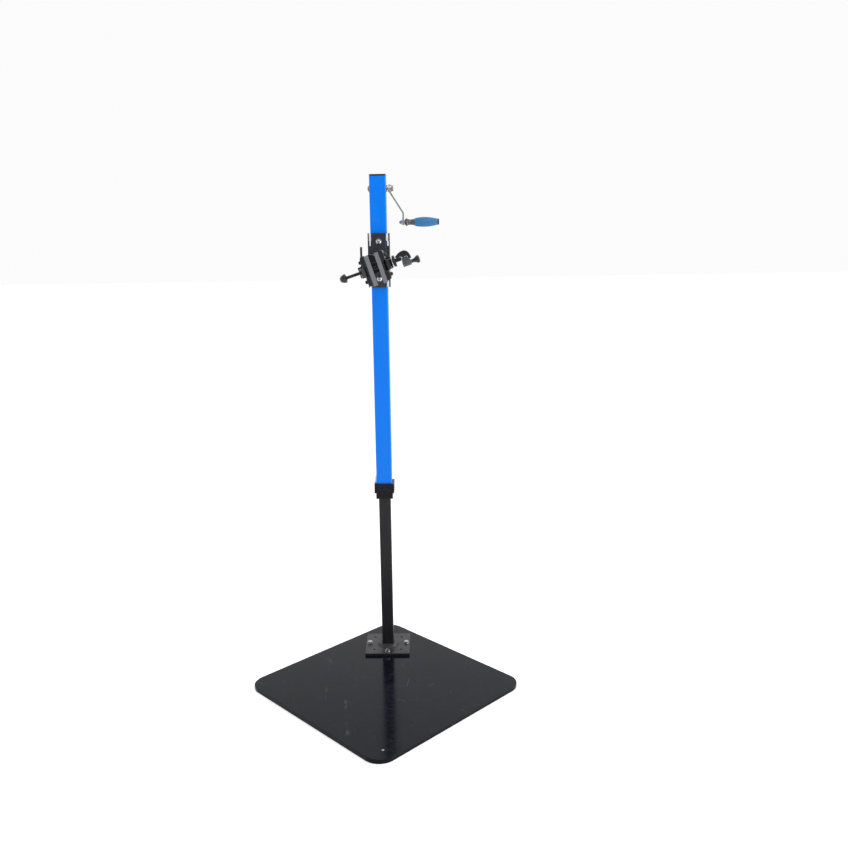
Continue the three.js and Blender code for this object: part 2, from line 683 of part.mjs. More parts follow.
// One jaw as seen from the front: an upper and a lower lug joined by a thin web beside the tube and a
// thicker one behind. The barrel sits between the lugs.
function jawBody(back) {
  const { inner, outer, front, bottom, top } = JAW;
  const lug = (z0, z1) => {
    const shape = new THREE.Shape();
    const high = z0 > 0;
    const tip = high ? z1 : z0;
    const root = high ? z0 : z1;
    const step = high ? -7 : 7;
    shape.moveTo(inner, root);
    shape.lineTo(inner, tip);
    shape.lineTo(outer - 7, tip);
    shape.quadraticCurveTo(outer, tip, outer, tip + step);
    shape.lineTo(outer, root);
    shape.closePath();
    return fromFront(shape, front, 30, 0.8, 4);
  };
  const upper = lug(BARREL.top + GAP, top);
  const lower = lug(bottom, BARREL.bottom - GAP);
  const web = block([inner, inner + 3.4], [front + 1, 7.2], [bottom + 12, top - 12]);
  const rear = block([inner, outer + 9], [BARREL.y + BARREL.radius + GAP, back], [-15, 15]);
  const cheek = (z0, z1) => block([inner, outer - 1], [24, back], [z0, z1]);
  const rearLower = cheek(-24, BARREL.bottom - GAP);
  const rearUpper = cheek(BARREL.top + GAP, 20);
  return join(upper, lower, web, rear, rearUpper, rearLower);
}

const padScrewPlaces = [-26.5, 23.6];

function screwBores() {
  return padScrewPlaces.map((z) => bar("x", 2.5 + GAP, JAW.inner - 1, JAW.outer + 1, [0, -4, z], 10));
}

// Every left-hand piece of the clamp is the mirror of a right-hand one.
function mirrored(body) {
  const geometry = geometryOf(body).toNonIndexed();
  const position = geometry.attributes.position;
  const flipped = [];
  for (let i = 0; i < position.count; i += 3) {
    for (const k of [i, i + 2, i + 1]) {
      flipped.push(-position.getX(k), position.getY(k), position.getZ(k));
    }
  }
  const mirror = new THREE.BufferGeometry();
  mirror.setAttribute("position", new THREE.Float32BufferAttribute(flipped, 3));
  return solid(mirror);
}

function fixedJaw() {
  return cut(jawBody(YOKE.front - GAP), ...screwBores());
}

// The moving jaw has a tongue that slides in the yoke's T slot.
function movingJaw() {
  const foot = jawBody(YOKE.front - GAP);
  const across = [JAW.inner + 1, JAW.outer + 8];
  const play = 0.4;
  const neckHalf = SLOT.neck - play;
  const headHalf = SLOT.head - play;
  const neck = block(across, [YOKE.front - 2, SLOT.neckBack + 1], [-neckHalf, neckHalf]);
  const head = block(across, [SLOT.neckBack + play, SLOT.headBack - play], [-headHalf, headHalf]);
  return mirrored(cut(join(foot, neck, head), ...screwBores()));
}

function barrel() {
  const { x, y, radius, bottom, top } = BARREL;
  const body = turned("z", [
    [0, bottom],
    [radius - 1, bottom],
    [radius, bottom + 1],
    [radius, top - 1],
    [radius - 1, top],
    [0, top],
  ], [x, y, 0], 24);
  return cut(body, bar("x", ROD.radius + GAP, x - 20, x + 20, [0, y, 0], 20));
}

// A grey rubber pad with a round groove that takes the tube.
function rubberPad() {
  const { inner, outer, front, back, bottom, top, groove } = PAD;
  const shape = roundedSquare((outer - inner) / 2, 1.5, THREE.Shape, (back - front) / 2);
  const geometry = new THREE.ExtrudeGeometry(shape, {
    depth: top - bottom,
    bevelEnabled: false,
    curveSegments: 3,
  });
  geometry.translate((inner + outer) / 2, (front + back) / 2, bottom);
  return cut(solid(geometry), bar("z", groove, bottom - 1, top + 1, [0, 0, 0], 48));
}

// A pad screw with a round head on the outer side of its jaw.
function padScrew(z) {
  const head = turned("x", [
    [0, JAW.outer + GAP],
    [4.6, JAW.outer + GAP],
    [4.6, JAW.outer + 3.6],
    [3.2, JAW.outer + 6],
    [0, JAW.outer + 6.6],
  ], [0, -4, z], 20);
  return join(head, bar("x", 2.5, JAW.inner + 2, JAW.outer + 1, [0, -4, z], 10));
}

const rodPlace = [0, BARREL.y, 0];

function spindle() {
  const right = CAM.x - 4;
  const rod = bar("x", ROD.radius, ROD.knobX - 8, ROD.neckX, rodPlace, 20);
  const neck = bar("x", ROD.neck, ROD.neckX - 1, right, rodPlace, 20);
  return join(rod, neck, bar("x", CAM.headRadius, right - 2.4, right, rodPlace, 20));
}

function mushroomKnob() {
  const x = ROD.knobX;
  const dome = turned("x", [
    [0, x - 18.5],
    [4.5, x - 17.6],
    [8, x - 14.5],
    [10.2, x - 10],
    [11.2, x - 5],
    [11, x - 2.6],
    [9.5, x - 1.6],
    [6.8, x - 1.6],
    [6.2, x],
    [0, x],
  ], rodPlace, 24);
  return cut(dome, bar("x", ROD.radius + GAP, x - 8 - GAP, x + 1, rodPlace, 20));
}

function ringCollar() {
  const { x, thick, radius, lobes } = RING;
  const disc = turned("x", [
    [0, x],
    [radius - 1, x],
    [radius, x + 1],
    [radius, x + thick - 1],
    [radius - 1, x + thick],
    [0, x + thick],
  ], rodPlace, 24);
  const grooves = [];
  for (let i = 0; i < lobes; i += 1) {
    const angle = (2 * Math.PI * i) / lobes;
    const reach = radius + 0.7;
    const place = [0, BARREL.y + reach * Math.cos(angle), reach * Math.sin(angle)];
    grooves.push(bar("x", 1.5, x - 1, x + thick + 1, place, 6));
  }
  return cut(disc, ...grooves, bar("x", ROD.radius + GAP, x - 1, x + thick + 1, rodPlace, 20));
}

function rodWasher() {
  const x = BARREL.x + BARREL.radius + GAP;
  const washer = bar("x", 9, x, RING.x - GAP, rodPlace, 24);
  return cut(washer, bar("x", ROD.radius + GAP, x - 1, RING.x + 1, rodPlace, 20));
}

// The block that holds the rod's head, with the lever's pin through it.
function camBlock() {
  const start = RING.x + RING.thick + GAP;
  const body = block([start, CAM.x + 2], [BARREL.y - 7, BARREL.y + 7], [-CAM.half, CAM.half]);
  const end = bar("z", 7, -CAM.half, CAM.half, [CAM.x, BARREL.y, 0], 24);
  const rodBore = bar("x", ROD.neck + GAP, start - 1, CAM.x - 6.8, rodPlace, 20);
  const headRoom = bar("x", CAM.headRadius + GAP, CAM.x - 7, CAM.x - 3.6, rodPlace, 20);
  const pin = bar("z", 2.5, -3, 11, [CAM.x, BARREL.y, 0], 12);
  return join(cut(join(body, end), rodBore, headRoom), pin);
}

// The arched lever, as seen from the front. It sits on the cam block and turns on the block's pin.
function camLever() {
  const arch = new THREE.Shape();
  arch.moveTo(53.6, -6.1);
  arch.lineTo(53.6, 9);
  arch.bezierCurveTo(60, 14, 67, 17.8, 76, 17.6);
  arch.bezierCurveTo(86, 17, 91.5, 8, 91.4, -6.1);
  arch.lineTo(83.4, -6.1);
  arch.lineTo(83.4, 0.8);
  arch.lineTo(82, 2.2);
  arch.lineTo(68.4, 2.2);
  arch.lineTo(67, 0.8);
  arch.lineTo(67, -6.1);
  const [y0, y1] = [BARREL.y - 7.5, BARREL.y + 7.5];
  const body = fromFront(arch, y0, y1, 1, 8);
  const round = join(
    bar("z", 7.5, -9, 20, [CAM.x, BARREL.y, 0], 32),
    block([CAM.x, 100], [y0 - 1, y1 + 1], [-10, 20]),
  );
  const seat = bar("z", 11, -12, CAM.half + GAP, [CAM.x, BARREL.y, 0], 24);
  const pinHole = bar("z", 2.5 + GAP, -9, 30, [CAM.x, BARREL.y, 0], 12);
  return cut(body.intersect(round), seat, pinHole);
}

// The lever's handle: a grey sleeve whose lug fills the arch, then a black neck that flares to a round end.
const leverHandle = { y: BARREL.y, z: -14.4 };
function leverSleeve() {
  const sleeve = turned("x", [
    [0, 66],
    [6.8, 66],
    [8, 67.2],
    [8, 87],
    [7, 88],
    [0, 88],
  ], [0, leverHandle.y, leverHandle.z], 24);
  const lug = new THREE.Shape();
  lug.moveTo(67.6, leverHandle.z);
  lug.lineTo(67.6, 0.6);
  lug.lineTo(68.8, 1.8);
  lug.lineTo(81.6, 1.8);
  lug.lineTo(82.8, 0.6);
  lug.lineTo(82.8, leverHandle.z);
  return join(sleeve, fromFront(lug, leverHandle.y - 5, leverHandle.y + 5));
}

function leverEnd() {
  const place = [0, leverHandle.y, leverHandle.z];
  return turned("x", [
    [0, 88 + GAP],
    [4.8, 88 + GAP],
    [4.5, 93],
    [5.4, 97],
    [9.2, 103],
    [9.7, 106],
    [8.6, 109],
    [5, 110.4],
    [0, 110.8],
  ], place, 24);
}

add(repairStand, "clamp_arm", clampArm(), BLACK_COAT);
add(clamp, "clamp_yoke", clampYoke(), BLACK_CAST);
add(clamp, "fixed_jaw", fixedJaw(), BLACK_CAST);
add(clamp, "moving_jaw", movingJaw(), BLACK_CAST);
add(clamp, "fixed_barrel", barrel(), BLACK_CAST);
add(clamp, "moving_barrel", mirrored(barrel()), BLACK_CAST);
add(clamp, "fixed_pad", rubberPad(), GREY_RUBBER);
add(clamp, "moving_pad", mirrored(rubberPad()), GREY_RUBBER);
padScrewPlaces.forEach((z, i) => {
  const level = i ? "upper" : "lower";
  add(clamp, `fixed_screw_${level}`, padScrew(z), DARK_STEEL);
  add(clamp, `moving_screw_${level}`, mirrored(padScrew(z)), DARK_STEEL);
});
add(clamp, "spindle", spindle(), DARK_STEEL);
add(clamp, "mushroom_knob", mushroomKnob(), BLACK_PLASTIC);
add(clamp, "rod_washer", rodWasher(), ZINC);
add(clamp, "ring_collar", ringCollar(), BLACK_CAST);
add(clamp, "cam_block", camBlock(), BLACK_CAST);
add(clamp, "cam_lever", camLever(), BLACK_CAST);
add(clamp, "lever_sleeve", leverSleeve(), GREY_PAINT);
add(clamp, "lever_end", leverEnd(), BLACK_PLASTIC);

export default repairStand;
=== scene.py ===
"""Looks for a hand-cranked bicycle repair stand: fine turned pieces, threads, weld beads and materials.

Everything is in metres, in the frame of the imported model. Profiles and sizes below are in millimetres.
"""
import json
import math

import bmesh
import bpy
from mathutils import Matrix, Vector


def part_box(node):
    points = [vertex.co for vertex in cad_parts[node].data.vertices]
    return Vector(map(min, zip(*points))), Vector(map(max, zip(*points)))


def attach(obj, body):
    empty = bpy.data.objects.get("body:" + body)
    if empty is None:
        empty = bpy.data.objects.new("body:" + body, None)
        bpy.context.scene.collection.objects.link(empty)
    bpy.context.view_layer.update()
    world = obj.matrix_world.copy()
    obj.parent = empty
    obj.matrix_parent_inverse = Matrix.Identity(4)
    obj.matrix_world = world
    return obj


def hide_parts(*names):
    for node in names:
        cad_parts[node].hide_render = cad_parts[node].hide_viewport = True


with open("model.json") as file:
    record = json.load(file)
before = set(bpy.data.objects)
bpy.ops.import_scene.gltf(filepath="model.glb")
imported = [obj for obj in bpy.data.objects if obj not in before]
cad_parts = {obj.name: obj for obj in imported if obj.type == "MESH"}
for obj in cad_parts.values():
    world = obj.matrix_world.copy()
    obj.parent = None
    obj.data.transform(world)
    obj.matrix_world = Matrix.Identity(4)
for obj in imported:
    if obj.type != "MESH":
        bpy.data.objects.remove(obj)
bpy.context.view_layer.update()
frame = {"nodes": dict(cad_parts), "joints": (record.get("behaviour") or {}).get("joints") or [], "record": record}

MM = 0.001
JOINTS = {joint["name"]: joint for joint in frame["joints"]}
NODES = frame["nodes"]


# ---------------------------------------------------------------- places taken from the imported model

def basis(origin, axis, side):
    """A matrix at origin with Z along axis and X along side."""
    z = Vector(axis).normalized()
    x = Vector(side).normalized()
    y = z.cross(x)
    rows = [[x[i], y[i], z[i], origin[i]] for i in range(3)]
    return Matrix(rows + [[0, 0, 0, 1]])


def box_mm(node):
    """The lowest and highest corner of a CAD node at rest, in millimetres."""
    return [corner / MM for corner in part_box(node)]


def extent(node, where):
    """The lowest and highest corner of a CAD node along the axes of where, in millimetres."""
    inverse = where.inverted()
    points = [inverse @ vertex.co / MM for vertex in NODES[node].data.vertices]
    low = Vector([min(point[i] for point in points) for i in range(3)])
    high = Vector([max(point[i] for point in points) for i in range(3)])
    return low, high


def on_axis(node, where):
    """The frame where, moved sideways so that its Z axis runs through the middle of a round CAD node."""
    low, high = extent(node, where)
    middle = (low + high) / 2 * MM
    return where @ Matrix.Translation((middle.x, middle.y, 0))


X, Y, Z = Vector((1, 0, 0)), Vector((0, 1, 0)), Vector((0, 0, 1))
ROD = Vector(JOINTS["knob_turn"]["axis"]).normalized()
ROD_ORIGIN = Vector(JOINTS["knob_turn"]["pos_m"])
ROD_FRAME = basis(ROD_ORIGIN, ROD, Y)
HANDLE_FRAME = basis((0, *JOINTS["handle_spin"]["pos_m"][1:]), X, Y)
CRANK_ORIGIN = Vector(JOINTS["crank_turn"]["pos_m"])
SWIVEL_ORIGIN = Vector(JOINTS["clamp_swivel"]["pos_m"])


# ---------------------------------------------------------------- material graphs

DUST = (0.42, 0.41, 0.39)


class Graph:
    """A material's node tree, with short calls for the few kinds of node that it uses."""

    def __init__(self, name):
        self.material = bpy.data.materials.new(name)
        self.material.use_nodes = True
        self.tree = self.material.node_tree
        self.shader = self.tree.nodes["Principled BSDF"]
        self.point = self.add("ShaderNodeTexCoord").outputs["Object"]
        self.geometry = self.add("ShaderNodeNewGeometry")

    def add(self, kind, values=None, **settings):
        node = self.tree.nodes.new(kind)
        for key, value in settings.items():
            setattr(node, key, value)
        for key, value in (values or {}).items():
            self.put(node.inputs[key], value)
        return node

    def put(self, socket, value):
        if isinstance(value, bpy.types.NodeSocket):
            self.tree.links.new(value, socket)
        else:
            socket.default_value = value

    def stretched(self, stretch):
        return self.add("ShaderNodeMapping", {"Vector": self.point, "Scale": stretch}).outputs[0]

    def noise(self, scale, detail=3, rough=0.55, stretch=None):
        point = self.point if stretch is None else self.stretched(stretch)
        values = {"Vector": point, "Scale": scale, "Detail": detail, "Roughness": rough}
        return self.add("ShaderNodeTexNoise", values).outputs["Fac"]

    def cells(self, scale, feature="F1", stretch=None):
        point = self.point if stretch is None else self.stretched(stretch)
        values = {"Vector": point, "Scale": scale}
        return self.add("ShaderNodeTexVoronoi", values, feature=feature).outputs["Distance"]

    def math(self, operation, a, b=0.0):
        return self.add("ShaderNodeMath", {0: a, 1: b}, operation=operation).outputs[0]

    def span(self, value, low, high, to_low=0.0, to_high=1.0):
        values = {"Value": value, "From Min": low, "From Max": high, "To Min": to_low, "To Max": to_high}
        return self.add("ShaderNodeMapRange", values).outputs[0]

    def mix(self, share, a, b):
        node = self.add("ShaderNodeMix", data_type="RGBA")
        self.put(node.inputs["Factor"], share)
        for socket, value in ((node.inputs[6], a), (node.inputs[7], b)):
            self.put(socket, value if isinstance(value, bpy.types.NodeSocket) else (*value, 1))
        return node.outputs[2]

    def bump(self, height, distance, below=None):
        values = {"Height": height, "Distance": distance * MM, "Strength": 1.0}
        if below is not None:
            values["Normal"] = below
        return self.add("ShaderNodeBump", values).outputs[0]

    def edges(self, radius, low=0.01, high=0.12):
        """1 on convex and concave edges, 0 on flat faces."""
        rounded = self.add("ShaderNodeBevel", {"Radius": radius * MM}, samples=4).outputs[0]
        values = {0: rounded, 1: self.geometry.outputs["Normal"]}
        dot = self.add("ShaderNodeVectorMath", values, operation="DOT_PRODUCT").outputs["Value"]
        return self.span(self.math("SUBTRACT", 1.0, dot), low, high)


def shade(colour, factor):
    """A colour made lighter or darker by a factor."""
    return tuple(min(1.0, c * factor) for c in colour)


def surface(name, colour, rough, metallic=0.0, specular=0.5, tone=0.12, tone_scale=9, grain=(), streaks=None,
            streak_tone=0.1, scratches=0.0, wear=0.0, wear_colour=(0.35, 0.36, 0.37), dust=0.0,
            rough_span=0.08, tint=None):
    """A worn workshop finish.

    tone is the slow variation of colour, grain a list of (scale, height in mm) bumps, streaks the stretch of
    fine lines, wear how much bare metal shows on edges, and dust how much pale dust lies on upward faces.
    """
    g = Graph(name)
    cloud = g.noise(tone_scale, 5, 0.6)
    fine = g.noise(tone_scale * 14, 4, 0.65)
    base = g.mix(g.span(cloud, 0.3, 0.7), shade(colour, 1 - tone), shade(colour, 1 + tone))
    if tint is not None:
        base = g.mix(g.span(g.noise(tone_scale * 2.3, 3), 0.45, 0.72, 0, 0.55), base, tint)
    base = g.mix(g.span(fine, 0.42, 0.75, 0, 0.25), base, shade(colour, 1 + 2 * tone))
    roughness = g.span(cloud, 0.3, 0.7, rough - rough_span, rough + rough_span)
    roughness = g.math("ADD", roughness, g.span(fine, 0.4, 0.7, -0.03, 0.04))
    normal = None
    if streaks is not None:
        lines = g.noise(1.0, 4, 0.7, stretch=streaks)
        base = g.mix(g.span(lines, 0.35, 0.7, 0, 1), shade(colour, 1 - streak_tone), base)
        roughness = g.math("ADD", roughness, g.span(lines, 0.3, 0.7, -0.05, 0.07))
        normal = g.bump(lines, 0.02)
    for scale, height in grain:
        normal = g.bump(g.noise(scale, 3, 0.6), height, normal)
    metal = metallic
    if scratches:
        marks = g.cells(16, "DISTANCE_TO_EDGE", stretch=(1, 0.35, 0.5))
        crossing = g.cells(11, "DISTANCE_TO_EDGE", stretch=(0.3, 1.1, 0.7))
        nearest = g.math("MINIMUM", marks, crossing)
        broken = g.span(g.noise(23, 3), 0.52, 0.66)
        line = g.math("MULTIPLY", g.span(nearest, 0.0, 0.006, 1, 0), broken)
        line = g.math("MULTIPLY", line, scratches)
        base = g.mix(line, base, shade(wear_colour, 0.7))
        roughness = g.math("ADD", roughness, g.math("MULTIPLY", line, 0.2))
    if wear:
        chipped = g.span(g.noise(170, 4, 0.7), 0.46, 0.62)
        edge = g.math("MULTIPLY", g.math("MULTIPLY", g.edges(0.9), chipped), wear)
        base = g.mix(edge, base, wear_colour)
        metal = g.math("ADD", g.math("MULTIPLY", edge, 0.8 * (1 - metallic)), metallic)
    if dust:
        up = g.add("ShaderNodeSeparateXYZ", {0: g.geometry.outputs["Normal"]}).outputs["Z"]
        specks = g.span(g.cells(420), 0.03, 0.16, 1, 0)
        film = g.span(g.noise(31, 5, 0.7), 0.45, 0.8, 0, 0.5)
        lying = g.math("MAXIMUM", film, g.math("MULTIPLY", specks, 0.8))
        lying = g.math("MULTIPLY", g.math("MULTIPLY", g.span(up, 0.5, 0.95), lying), dust)
        base = g.mix(lying, base, DUST)
        roughness = g.math("ADD", roughness, g.math("MULTIPLY", lying, 0.4))
    g.put(g.shader.inputs["Base Color"], base)
    g.put(g.shader.inputs["Roughness"], roughness)
    g.put(g.shader.inputs["Metallic"], metal)
    g.shader.inputs["Specular IOR Level"].default_value = specular
    if normal is not None:
        g.put(g.shader.inputs["Normal"], normal)
    return g.material


MATERIALS = {
    "black_satin": surface(
        "black_satin_plate", (0.0026, 0.003, 0.0062), 0.15, specular=0.09, tone=0.12, tone_scale=5,
        grain=[(1400, 0.0025)], scratches=0.12, wear=0.4, dust=0.014, rough_span=0.02),
    "black_coat": surface(
        "black_powder_coat", (0.0108, 0.0098, 0.0115), 0.4, specular=0.25, tone=0.15, tone_scale=14,
        grain=[(1500, 0.012)], streaks=(420, 420, 3), streak_tone=0.3, wear=0.4, dust=0.06),
    "blue_coat": surface(
        "blue_powder_coat", (0.0, 0.159, 0.71), 0.18, specular=0.16, tone=0.05, tone_scale=4,
        grain=[(700, 0.006)], streaks=(160, 160, 5), streak_tone=0.05, scratches=0.12, wear=0.25,
        rough_span=0.03),
    "black_cast": surface(
        "black_cast_iron", (0.0062, 0.0066, 0.0092), 0.34, specular=0.32, tone=0.2, tone_scale=30,
        grain=[(620, 0.06), (190, 0.1)], wear=0.6, dust=0.06),
    "black_plastic": surface(
        "black_moulded_plastic", (0.0095, 0.0093, 0.012), 0.28, specular=0.4, tone=0.12, tone_scale=25,
        grain=[(2200, 0.012)], scratches=0.1, dust=0.05),
    "blue_grip": surface(
        "blue_moulded_grip", (0.024, 0.137, 0.31), 0.48, specular=0.35, tone=0.14, tone_scale=40,
        grain=[(1800, 0.02)], dust=0.06),
    "grey_rubber": surface(
        "grey_rubber", (0.15, 0.157, 0.168), 0.62, specular=0.3, tone=0.12, tone_scale=45,
        grain=[(1500, 0.04), (240, 0.05)], streaks=(500, 30, 500), streak_tone=0.12, dust=0.1),
    "grey_paint": surface(
        "dark_grey_paint", (0.047, 0.048, 0.059), 0.28, specular=0.45, tone=0.12, tone_scale=40,
        grain=[(900, 0.012)], scratches=0.15, wear=0.5, dust=0.05),
    "white_nylon": surface(
        "white_nylon", (0.68, 0.69, 0.68), 0.42, tone=0.04, tone_scale=30,
        grain=[(900, 0.02)], streaks=(30, 30, 700), streak_tone=0.06),
    "zinc": surface(
        "zinc_plate", (0.4, 0.41, 0.41), 0.3, metallic=1.0, tone=0.1, tone_scale=60,
        grain=[(1400, 0.008)], streaks=(60, 60, 900), streak_tone=0.16, wear=0.2,
        wear_colour=(0.6, 0.61, 0.6), tint=(0.36, 0.385, 0.34)),
    "steel": surface(
        "machined_steel", (0.3, 0.305, 0.315), 0.3, metallic=1.0, tone=0.12, tone_scale=50,
        grain=[(1500, 0.008)], streaks=(1100, 40, 40), streak_tone=0.2, wear=0.2,
        wear_colour=(0.55, 0.55, 0.55)),
    "dark_steel": surface(
        "black_oxide_steel", (0.018, 0.0165, 0.019), 0.3, metallic=0.4, specular=0.25, tone=0.16,
        tone_scale=60, grain=[(1300, 0.01)], wear=0.3, wear_colour=(0.3, 0.29, 0.28)),
    "bronze": surface(
        "machined_bronze", (0.42, 0.25, 0.11), 0.32, metallic=1.0, tone=0.14, tone_scale=50,
        grain=[(1300, 0.012)], streaks=(50, 50, 900), streak_tone=0.2, tint=(0.22, 0.14, 0.075)),
}

# finishes that differ from their slot's usual one
FLANGE_COAT = surface(
    "matte_black_coat", (0.012, 0.0118, 0.015), 0.42, specular=0.29, tone=0.16, tone_scale=18,
    grain=[(1300, 0.02), (210, 0.02)], scratches=0.3, wear=0.35, dust=0.12)
WELD_BEAD = surface(
    "painted_weld_bead", (0.014, 0.0138, 0.016), 0.34, specular=0.4, tone=0.2, tone_scale=60,
    grain=[(800, 0.04)], dust=0.15)
COLLAR_COAT = surface(
    "gloss_black_coat", (0.0036, 0.0035, 0.0052), 0.3, specular=0.14, tone=0.15, tone_scale=16,
    grain=[(1500, 0.01)], scratches=0.12, wear=0.4, dust=0.06)
BARREL_GLOSS = surface(
    "gloss_black_barrel", (0.0062, 0.0066, 0.0095), 0.16, specular=0.75, tone=0.16, tone_scale=40,
    grain=[(700, 0.02)], wear=0.5, dust=0.04, rough_span=0.03)
BRACKET_COAT = surface(
    "blue_black_coat", (0.0185, 0.0205, 0.028), 0.32, specular=0.32, tone=0.18, tone_scale=22,
    grain=[(1500, 0.012)], scratches=0.15, wear=0.45, dust=0.05)
BLACK_CHROME = surface(
    "black_chrome", (0.1, 0.102, 0.108), 0.2, metallic=0.7, tone=0.14, tone_scale=60,
    grain=[(1500, 0.006)], streaks=(1100, 40, 40), streak_tone=0.2, wear=0.3)
FINISH_OF_NODE = {
    "foot_flange": FLANGE_COAT, "lower_collar": COLLAR_COAT, "collar_sleeve": COLLAR_COAT,
    "bracket_front": BRACKET_COAT, "bracket_back": BRACKET_COAT, "bracket_side_left": BRACKET_COAT,
    "bracket_side_right": BRACKET_COAT, "fixed_barrel": BARREL_GLOSS, "moving_barrel": BARREL_GLOSS,
}


# ---------------------------------------------------------------- making pieces

def finish_mesh(name, bm, body, slot, material=None, stands_for=(), sharp=32, where=None):
    """Turns a bmesh in millimetres into a piece that rides on a body."""
    bmesh.ops.recalc_face_normals(bm, faces=bm.faces)
    mesh = bpy.data.meshes.new(name)
    bm.to_mesh(mesh)
    bm.free()
    mesh.transform((where or Matrix.Identity(4)) @ Matrix.Scale(MM, 4))
    mesh.polygons.foreach_set("use_smooth", [True] * len(mesh.polygons))
    mesh.set_sharp_from_angle(angle=math.radians(sharp))
    mesh.materials.append(material or MATERIALS[slot])
    piece = bpy.data.objects.new(name, mesh)
    bpy.context.scene.collection.objects.link(piece)
    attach(piece, body)
    if stands_for:
        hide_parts(*stands_for)
    return piece


def skin(bm, rings, closed=False):
    """Joins rings of equal count, or single points, one after another."""
    pairs = list(zip(rings, rings[1:]))
    if closed:
        pairs.append((rings[-1], rings[0]))
    for lower, upper in pairs:
        count = max(len(lower), len(upper))
        for i in range(count):
            j = (i + 1) % count
            below = [lower[i % len(lower)], lower[j % len(lower)]]
            above = [upper[j % len(upper)], upper[i % len(upper)]]
            bm.faces.new(dict.fromkeys(below + above))


def eased(profile, radius, closed=False):
    """Replaces the corners between plain points of a profile by short arcs."""
    out = []
    count = len(profile)
    for i, point in enumerate(profile):
        inner = closed or 0 < i < count - 1
        near = [profile[(i - 1) % count], point, profile[(i + 1) % count]]
        if not inner or any(callable(p) for p in near):
            out.append(point)
            continue
        before, corner, after = [Vector(p) for p in near]
        back, ahead = before - corner, after - corner
        turn = math.pi - back.angle(ahead, math.pi)
        if turn < math.radians(20):
            out.append(point)
            continue
        reach = min(radius * math.tan(turn / 2), 0.4 * back.length, 0.4 * ahead.length)
        start = corner + back.normalized() * reach
        end = corner + ahead.normalized() * reach
        for t in (0, 0.25, 0.5, 0.75, 1):
            out.append(tuple(start * (1 - t) ** 2 + corner * (2 * t * (1 - t)) + end * t * t))
    return out


def hexagon(across, along, crown=None):
    """A hexagon as one ring of a turned piece; outside the crown radius it drops away by 30 degrees."""
    def ring(theta):
        radius = across / 2 / math.cos((theta + math.pi / 6) % (math.pi / 3) - math.pi / 6)
        drop = 0 if crown is None else max(0, radius - crown) * math.tan(math.radians(30))
        return radius, along - drop
    return ring


def turned(name, body, where, profile, slot, stands_for=(), ease=0.5, sides=72, closed=False, material=None):
    """A piece turned about the Z axis of where.

    profile has (radius, along) pairs in millimetres, or functions that give such a pair by angle.
    """
    bm = bmesh.new()
    rings = []
    for point in eased(profile, ease, closed):
        if not callable(point) and point[0] < 1e-6:
            rings.append([bm.verts.new((0, 0, point[1]))])
            continue
        ring = []
        for i in range(sides):
            theta = 2 * math.pi * i / sides
            radius, along = point(theta) if callable(point) else point
            ring.append(bm.verts.new((radius * math.cos(theta), radius * math.sin(theta), along)))
        rings.append(ring)
    skin(bm, rings, closed)
    return finish_mesh(name, bm, body, slot, material, stands_for, where=where)


def relief(name, body, where, radius_at, start, end, steps, sides, slot, stands_for=()):
    """A round piece, closed at both ends, whose radius is a function of the angle and the distance along."""
    bm = bmesh.new()
    rings = [[bm.verts.new((0, 0, start))]]
    for k in range(steps + 1):
        along = start + (end - start) * k / steps
        ring = []
        for i in range(sides):
            theta = 2 * math.pi * i / sides
            radius = radius_at(theta, along)
            ring.append(bm.verts.new((radius * math.cos(theta), radius * math.sin(theta), along)))
        rings.append(ring)
    rings.append([bm.verts.new((0, 0, end))])
    skin(bm, rings)
    return finish_mesh(name, bm, body, slot, stands_for=stands_for, where=where, sharp=50)


def thread(radius, depth, pitch, start, end, run_out=1.5):
    """The radius of a right-handed thread with flat crests, plain for a pitch or so at both ends."""
    def at(theta, along):
        phase = (along / pitch - theta / (2 * math.pi)) % 1
        groove = min(1.0, max(0.0, 1.6 - abs(phase - 0.5) * 5.2))
        fade = min(1.0, max(0.0, min(along - start, end - along) / (run_out * pitch)))
        return radius - depth * groove * fade
    return at


def bead(name, body, path, radius, pitch, closed=True, up=(0, 0, 1)):
    """A weld bead: a rippled round swept along a path of points in millimetres."""
    points = [Vector(p) for p in path]
    count = len(points)
    bm = bmesh.new()
    rings = []
    travelled = 0.0
    for i, point in enumerate(points):
        after = points[(i + 1) % count] if closed or i < count - 1 else point
        before = points[(i - 1) % count] if closed or i > 0 else point
        if i:
            travelled += (point - points[i - 1]).length
        ahead = (after - before).normalized()
        side = ahead.cross(Vector(up)).normalized()
        over = side.cross(ahead)
        phase = (travelled / pitch) % 1
        size = radius * (0.86 + 0.2 * math.sin(math.pi * phase) + 0.05 * math.sin(travelled * 0.7))
        if not closed:
            size *= min(1.0, 0.35 + 0.5 * min(i, count - 1 - i))
        ring = []
        for k in range(12):
            angle = 2 * math.pi * k / 12
            ring.append(bm.verts.new(point + (side * math.cos(angle) + over * math.sin(angle)) * size))
        rings.append(ring)
    if not closed:
        rings = [[bm.verts.new(points[0])], *rings, [bm.verts.new(points[-1])]]
    skin(bm, rings, closed)
    return finish_mesh(name, bm, body, "black_coat", material=WELD_BEAD, sharp=60)


def circle(middle, radius, normal, side, count=160):
    """Points round a circle."""
    across = Vector(side)
    other = Vector(normal).cross(across)
    angles = [2 * math.pi * i / count for i in range(count)]
    return [Vector(middle) + (across * math.cos(a) + other * math.sin(a)) * radius for a in angles]


def line(start, end, step=0.7):
    """Points along a straight line, about step apart."""
    start, end = Vector(start), Vector(end)
    count = max(2, round((end - start).length / step))
    return [start.lerp(end, i / count) for i in range(count + 1)]


